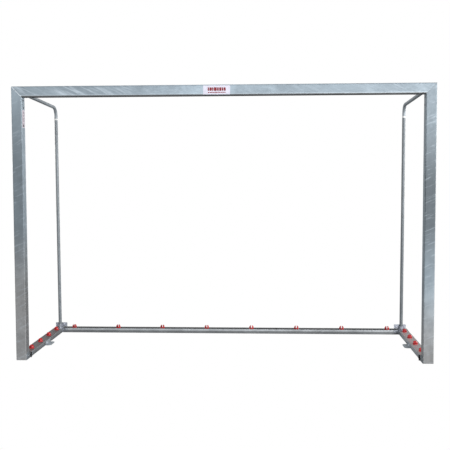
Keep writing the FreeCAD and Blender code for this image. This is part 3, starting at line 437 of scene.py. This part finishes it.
def vinyl(name, clean, shaded, dirt_scale=34.0):
    """Sticker vinyl or print with faint wrinkles and dirt."""
    s = Shader(name)
    dirt = s.noise(s.mapped(), dirt_scale, detail=5.0, roughness=0.6)
    wrinkles = s.noise(s.mapped(scale=(1.0, 1.0, 3.0)), 55.0, detail=2.0)
    s.set(
        Base_Color=s.blend(s.ramp(dirt, 0.35, 0.70), clean, shaded),
        Roughness=s.ramp(dirt, 0.30, 0.70, 0.32, 0.50),
    )
    s.bump(wrinkles, 0.10, 0.0004)
    return s.material


def weld_metal(name, dark, light):
    """Brushed weld: rippled along its length."""
    s = Shader(name)
    ripple = s.noise(s.mapped(), 260.0, detail=3.0, roughness=0.6)
    s.set(
        Base_Color=s.blend(s.ramp(ripple, 0.30, 0.70), dark, light),
        Metallic=0.4,
        Roughness=s.ramp(ripple, 0.30, 0.70, 0.35, 0.55),
    )
    s.bump(ripple, 0.35, 0.0008)
    return s.material


def paint(node, material):
    """Give one CAD node a material in all its slots."""
    slots = NODES[node].data.materials
    slots.clear()
    slots.append(material)


def paint_sides(name, material):
    paint("left_" + name, material)
    paint("right_" + name, material)


# Brightness along a piece, part paint and part painted light and shade: (share of the way up, or
# from left to right, and brightness).
LEFT_STOPS = ((0.0, 1.25), (0.28, 1.15), (0.48, 0.74), (0.72, 0.72), (0.90, 1.0), (1.0, 1.35))
LEFT_INNER_STOPS = ((0.0, 0.70), (0.35, 0.76), (0.60, 1.15), (1.0, 1.3))
RIGHT_STOPS = ((0.0, 0.94), (0.25, 1.12), (0.50, 0.34), (0.66, 0.34), (0.86, 0.62), (1.0, 0.74))
RIGHT_INNER_STOPS = ((0.0, 0.9), (1.0, 0.6))
CROSSBAR_STOPS = ((0.0, 0.66), (0.07, 0.84), (0.32, 1.06), (0.45, 1.38), (0.58, 1.0), (1.0, 0.68))
LEFT_BAR_STOPS = ((0.0, 0.42), (0.5, 0.62), (1.0, 0.75))
RIGHT_BAR_STOPS = ((0.0, 0.85), (0.5, 1.1), (1.0, 1.2))
REAR_BAR_STOPS = ((0.0, 0.56), (0.52, 0.62), (0.66, 1.55), (1.0, 1.55))
# Top colours of the base bars: dirt and painted shade. The rear bar's is nearly black.
LEFT_TOP_DIRT_AND_SHADE = toned(TOP_DIRT_AND_SHADE, 0.80)
RIGHT_TOP_DIRT_AND_SHADE = toned(TOP_DIRT_AND_SHADE, 2.4)
REAR_TOP_DIRT_AND_SHADE = toned(TOP_DIRT_AND_SHADE, 0.04)


def paint_tubes():
    """The galvanised square and flat tubes of the front frame and the base."""
    paint("crossbar", galvanised_crossbar("galvanised_crossbar", 1.15, CROSSBAR_STOPS))
    left = galvanised_post("galvanised_left_post", 0.78, 0.7, LEFT_STOPS, LEFT_INNER_STOPS)
    right = galvanised_post("galvanised_right_post", 0.95, 0.25, RIGHT_STOPS, RIGHT_INNER_STOPS)
    paint("left_post", left)
    paint("right_post", right)
    for node, name, along, tone, stops, top_dirt_and_shade in (
        ("left_base_bar", "galvanised_left_bar", "Y", 0.9, LEFT_BAR_STOPS, LEFT_TOP_DIRT_AND_SHADE),
        ("right_base_bar", "galvanised_right_bar", "Y", 0.9, RIGHT_BAR_STOPS, RIGHT_TOP_DIRT_AND_SHADE),
        ("rear_bar", "galvanised_rear", "X", 1.0, REAR_BAR_STOPS, REAR_TOP_DIRT_AND_SHADE),
    ):
        paint(node, galvanised_bar(name, along, tone, stops, top_dirt_and_shade))


def paint_stays():
    """The round tubes, their joints' spigots, and the hinge leaves."""
    for side, tone in (("left_", 0.74), ("right_", 0.58)):
        stays = galvanised_small("galvanised_" + side + "stays", "Z", tone)
        paint(side + "upright", stays)
        paint(side + "joint_spigot", stays)
    paint_sides("arm", galvanised_arm("galvanised_arms", 0.66))
    # The last number is the rim's painted light: a highlight on the left, shade on the right.
    for side, tone, rim_light_tone in (("left_", 0.50, 0.5), ("right_", 0.62, 0.16)):
        leaf = galvanised_leaf("galvanised_" + side + "leaf", tone, rim_light_tone)
        paint(side + "post_hinge_leaf", leaf)
        paint(side + "bar_hinge_leaf", leaf)


def paint_fittings():
    """Brackets, clamps, bolts, plastic parts and labels."""
    small = galvanised_small("galvanised_fittings", "Z", 1.1)
    dull_bolt = galvanised_small("galvanised_bolts", "X", 0.7)
    zinc = plated("zinc_plating", PLATED_DARK, PLATED_LIGHT, 0.6, 0.42, 0.56)
    bright_bolt = plated("bright_bolts", BOLT_DARK, BOLT_LIGHT)
    black_bolt = plated("blackened_steel", BLACKENED, BLACKENED_WORN, 0.6)
    red = plastic("red_clip_plastic", RED_DEEP, RED_BRIGHT, 0.38)
    white = plastic("white_nylon", NYLON_AGED, NYLON, 0.42)
    black = plastic("black_plug_plastic", BLACK_PLASTIC, BLACK_DUSTY, 0.55)
    sticker = vinyl("sticker_vinyl", VINYL, VINYL_SHADE)
    aged_sticker = vinyl("aged_sticker_vinyl", VINYL_AGED, VINYL_AGED_SHADE)

    for name in ("clevis", "corner_elbow", "anchor_tab"):
        paint_sides(name, small)
    for name in ("corner_bracket", "saddle_clamp", "arm_eye", "clip_screws"):
        paint_sides(name, zinc)
    paint_sides("bracket_bolts", dull_bolt)
    paint_sides("saddle_bolts", bright_bolt)
    for name in ("rear_clip_screws", "clevis_bolts", "clevis_pins"):
        paint(name, zinc)
    paint_sides("anchor_bolts", front_bright_anchor_bolts("anchor_bolt_zinc"))
    paint_sides("bar_hinge_bolts", dull_bolt)
    paint("post_hinge_bolts", dull_bolt)
    for name in ("corner_bolts", "foot_hinge_pins"):
        paint(name, black_bolt)
    paint_sides("net_clips", red)
    paint("rear_net_clips", red)
    paint_sides("joint_collar", white)
    paint_sides("base_bar_plugs", black)
    paint("post_foot_plugs", black)
    paint("rear_bar_plugs", black)
    paint("crossbar_label", sticker)
    paint("post_label", aged_sticker)


# --- Added pieces ----------------------------------------------------------------------------
def add_piece(name, build, material, body):
    """Make an object from a bmesh-building function and let it ride on a CAD body."""
    mesh = bpy.data.meshes.new(name)
    shape = bmesh.new()
    build(shape)
    bmesh.ops.recalc_face_normals(shape, faces=shape.faces)
    shape.to_mesh(mesh)
    shape.free()
    made = bpy.data.objects.new(name, mesh)
    SCENE.collection.objects.link(made)
    mesh.materials.append(material)
    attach(made, body)
    return made


def ridge(shape, start, end, outward, width, rise, steps=60):
    """A low rounded bead from start to end that stands out along outward, with small ripples."""
    run = end - start
    side = run.cross(outward).normalized()
    rings = []
    for step in range(steps + 1):
        middle = start + run * (step / steps)
        swell = 1.0 + 0.12 * math.sin(step * 2.4)
        ring = []
        for turn in range(7):
            angle = math.pi * turn / 6.0
            across = side * (math.cos(angle) * width / 2.0 * swell)
            above = outward * (math.sin(angle) * rise * swell)
            ring.append(shape.verts.new(middle + across + above))
        rings.append(ring)
    for near, far in zip(rings, rings[1:]):
        for index in range(6):
            shape.faces.new((near[index], near[index + 1], far[index + 1], far[index]))
        shape.faces.new((near[6], near[0], far[0], far[6]))
    shape.faces.new(rings[0])
    shape.faces.new(list(reversed(rings[-1])))


def mitre_seam(sign):
    """The weld along the mitre on the corner's front and back faces."""
    def build(shape):
        for y, outward in ((FRONT_Y, Vector((0, -1, 0))), (POST_BACK_Y, Vector((0, 1, 0)))):
            low = Vector((sign * (HALF_MOUTH + SEAM_INSET), y, MOUTH_HEIGHT + SEAM_INSET))
            high = low + Vector((sign, 0, 1)) * (POST_SIDE - 2 * SEAM_INSET)
            ridge(shape, low, high, outward, SEAM_WIDTH, SEAM_RISE)

    return build


def knuckle_welds(sign):
    """Two short beads where the post leaf's knuckles meet the leaf."""

    def build(shape):
        x = sign * (HALF_MOUTH - LEAF_THICK)
        y = POST_BACK_Y + KNUCKLE_WELD_SETBACK
        inward = Vector((-sign, 0, 0))
        for low, high in KNUCKLE_WELD_SPANS:
            start = Vector((x, y, low))
            end = Vector((x, y, high))
            ridge(shape, start, end, inward, KNUCKLE_WELD_WIDTH, KNUCKLE_WELD_RISE, 12)

    return build


def plate(shape, middle, u, v, width, height, thick, corner):
    """A thin rounded rectangle that lies on a surface, width along u and height along v."""
    normal = u.cross(v).normalized()
    outline = []
    for sign_u, sign_v, first in ((1, 1, 0), (-1, 1, 90), (-1, -1, 180), (1, -1, 270)):
        center_u = sign_u * (width / 2.0 - corner)
        center_v = sign_v * (height / 2.0 - corner)
        for step in range(5):
            angle = math.radians(first + 22.5 * step)
            place_u = center_u + corner * math.cos(angle)
            place_v = center_v + corner * math.sin(angle)
            outline.append(middle + u * place_u + v * place_v)
    back = [shape.verts.new(point) for point in outline]
    front = [shape.verts.new(point + normal * thick) for point in outline]
    shape.faces.new(front)
    shape.faces.new(list(reversed(back)))
    for index in range(len(outline)):
        following = (index + 1) % len(outline)
        shape.faces.new((back[index], back[following], front[following], front[index]))


def label_place(node):
    """The lowest and highest corners of a label's box."""
    low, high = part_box(node)
    return [Vector(low), Vector(high)]


def front_marks(shape):
    """Generic red marks on the crossbar's label: a row of plain bars above a dotted line."""
    low, high = label_place("crossbar_label")
    middle = Vector(((low.x + high.x) / 2.0, low.y - PRINT_THICK, (low.z + high.z) / 2.0))
    across = Vector((1, 0, 0))
    up = Vector((0, 0, 1))
    x = -(sum(FRONT_BAR_WIDTHS) + FRONT_BAR_GAP * (len(FRONT_BAR_WIDTHS) - 1)) / 2.0
    for width in FRONT_BAR_WIDTHS:
        spot = middle + across * (x + width / 2.0) + up * FRONT_BAR_LIFT
        plate(shape, spot, across, up, width, FRONT_BAR_HEIGHT, PRINT_THICK, FRONT_BAR_ROUND)
        x += width + FRONT_BAR_GAP
    for index in range(FRONT_DOT_COUNT):
        x = FRONT_DOT_PITCH * (index - (FRONT_DOT_COUNT - 1) / 2.0)
        spot = middle + across * x - up * FRONT_DOT_DROP
        plate(shape, spot, across, up, *FRONT_DOT_SIZE, PRINT_THICK, FRONT_DOT_ROUND)


def side_marks(shape):
    """Generic grey rows of marks on the label inside the left post."""
    low, high = label_place("post_label")
    middle = Vector((high.x + PRINT_THICK, (low.y + high.y) / 2.0, 0))
    deep = Vector((0, 1, 0))
    up = Vector((0, 0, 1))
    for index in range(SIDE_ROW_COUNT):
        z = high.z - SIDE_ROW_DROP - SIDE_ROW_PITCH * index
        count = 3 + index % 3
        width = SIDE_MARKS_LENGTH / count
        for part in range(count):
            y = SIDE_ROW_LENGTH * ((part + 0.5) / count - 0.5)
            spot = middle + deep * y + up * z
            plate(shape, spot, deep, up, width, SIDE_MARK_HEIGHT, PRINT_THICK, SIDE_MARK_ROUND)


def side_square(shape):
    """One dark block at the foot of the same label."""
    low, high = label_place("post_label")
    spot = Vector((high.x + PRINT_THICK, (low.y + high.y) / 2.0, low.z + SIDE_SQUARE_LIFT))
    deep = Vector((0, 1, 0))
    up = Vector((0, 0, 1))
    plate(shape, spot, deep, up, *SIDE_SQUARE_SIZE, PRINT_THICK, SIDE_SQUARE_ROUND)


def add_details():
    bright = weld_metal("brushed_weld", WELD_PALE, WELD_BRIGHT)
    dull = weld_metal("coated_weld", toned(WELD_DULL, 0.7), WELD_DULL)
    red_print = vinyl("red_print", PRINT_RED, PRINT_RED_FADED, 160.0)
    grey_print = vinyl("grey_print", PRINT_GREY, PRINT_GREY_FADED, 160.0)
    dark_print = vinyl("dark_print", BLACKENED, PRINT_GREY, 160.0)
    add_piece("left_mitre_seam", mitre_seam(-1), bright, "front_frame")
    add_piece("right_mitre_seam", mitre_seam(1), dull, "front_frame")
    add_piece("left_knuckle_welds", knuckle_welds(-1), dull, "front_frame")
    add_piece("right_knuckle_welds", knuckle_welds(1), dull, "front_frame")
    add_piece("crossbar_label_marks", front_marks, red_print, "front_frame")
    add_piece("post_label_marks", side_marks, grey_print, "front_frame")
    add_piece("post_label_square", side_square, dark_print, "front_frame")


# --- Stage, light and camera -----------------------------------------------------------------
def glowing_white(name, level):
    material = bpy.data.materials.new(name)
    material.use_nodes = True
    surface = material.node_tree.nodes["Principled BSDF"]
    surface.inputs["Base Color"].default_value = (0, 0, 0, 1)
    surface.inputs["Specular IOR Level"].default_value = 0.0
    surface.inputs["Emission Color"].default_value = (1, 1, 1, 1)
    surface.inputs["Emission Strength"].default_value = level
    return material


def camera_only(thing):
    for ray in ("diffuse", "glossy", "transmission", "shadow", "volume_scatter"):
        setattr(thing, "visible_" + ray, False)


def stage_floor():
    """A pale floor that runs into the backdrop without a horizon."""
    mesh = bpy.data.meshes.new("floor")
    size = FLOOR_HALF_SIZE
    corners = [(-size, -size, 0), (size, -size, 0), (size, size, 0), (-size, size, 0)]
    mesh.from_pydata(corners, [], [(0, 1, 2, 3)])
    floor = bpy.data.objects.new("floor", mesh)
    SCENE.collection.objects.link(floor)
    floor.location.z = -FLOOR_DROP
    mesh.materials.append(glowing_white("pale_floor", 1.0))
    camera_only(floor)


def backdrop():
    """A white shell far outside, which only the camera sees."""
    mesh = bpy.data.meshes.new("backdrop")
    shell = bmesh.new()
    bmesh.ops.create_icosphere(shell, subdivisions=4, radius=BACKDROP_RADIUS)
    shell.to_mesh(mesh)
    shell.free()
    ball = bpy.data.objects.new("backdrop", mesh)
    SCENE.collection.objects.link(ball)
    mesh.materials.append(glowing_white("backdrop_white", 1.0))
    camera_only(ball)


def area_light(name, place, target, size, power, color=(1, 1, 1)):
    data = bpy.data.lights.new(name, "AREA")
    data.shape = "RECTANGLE"
    data.size, data.size_y = size
    data.energy = power
    data.color = color
    light = bpy.data.objects.new(name, data)
    SCENE.collection.objects.link(light)
    light.location = place
    light.rotation_euler = (Vector(target) - Vector(place)).to_track_quat("-Z", "Y").to_euler()


def world():
    """Soft studio surroundings: pale at eye level and above, dim below."""
    made = bpy.data.worlds.new("studio")
    made.use_nodes = True
    SCENE.world = made
    tree = made.node_tree
    coordinates = tree.nodes.new("ShaderNodeTexCoord")
    split = tree.nodes.new("ShaderNodeSeparateXYZ")
    levels = tree.nodes.new("ShaderNodeValToRGB")
    share = tree.nodes.new("ShaderNodeMapRange")
    share.inputs["From Min"].default_value = -1.0
    tree.links.new(coordinates.outputs["Generated"], split.inputs["Vector"])
    tree.links.new(split.outputs["Z"], share.inputs["Value"])
    tree.links.new(share.outputs["Result"], levels.inputs["Fac"])
    elements = levels.color_ramp.elements
    while len(elements) < 4:
        elements.new(0.5)
    stops = ((0.0, 0.18), (0.45, 0.24), (0.58, 0.60), (1.0, 0.50))
    for element, (place, level) in zip(elements, stops):
        element.position = place
        element.color = (level * 0.94, level * 0.97, level, 1.0)
    tree.links.new(levels.outputs["Color"], tree.nodes["Background"].inputs["Color"])


def lights():
    area_light("key", (7.0, -11.0, 4.2), (0.3, 0, 1.1), (4.0, 3.5), 1600.0)
    area_light("fill", (-5.5, -6.5, 2.6), (-0.6, 0, 1.0), (3.0, 3.0), 120.0)
    area_light("side", (7.0, -1.0, 2.6), (-1.5, 0.3, 1.1), (3.0, 2.5), 190.0)
    area_light("top", (0.0, 1.5, 7.0), (0, 0, 0), (6.0, 4.0), 100.0)
    area_light("back_left", (-7.5, 6.5, 2.6), (0, 0.4, 1.0), (4.0, 3.0), 300.0)
    area_light("back_right", (7.5, 6.5, 2.6), (0, 0.4, 1.0), (4.0, 3.0), 300.0)


def camera():
    data = bpy.data.cameras.new("camera")
    data.lens = CAMERA_LENS
    data.sensor_width = 36.0
    eye = bpy.data.objects.new("camera", data)
    SCENE.collection.objects.link(eye)
    eye.location = CAMERA_PLACE
    eye.rotation_euler = [math.radians(a) for a in CAMERA_TURN]
    SCENE.camera = eye


camera()
paint_tubes()
paint_stays()
paint_fittings()
add_details()
stage_floor()
backdrop()
world()
lights()
SCENE.view_settings.view_transform = "Standard"
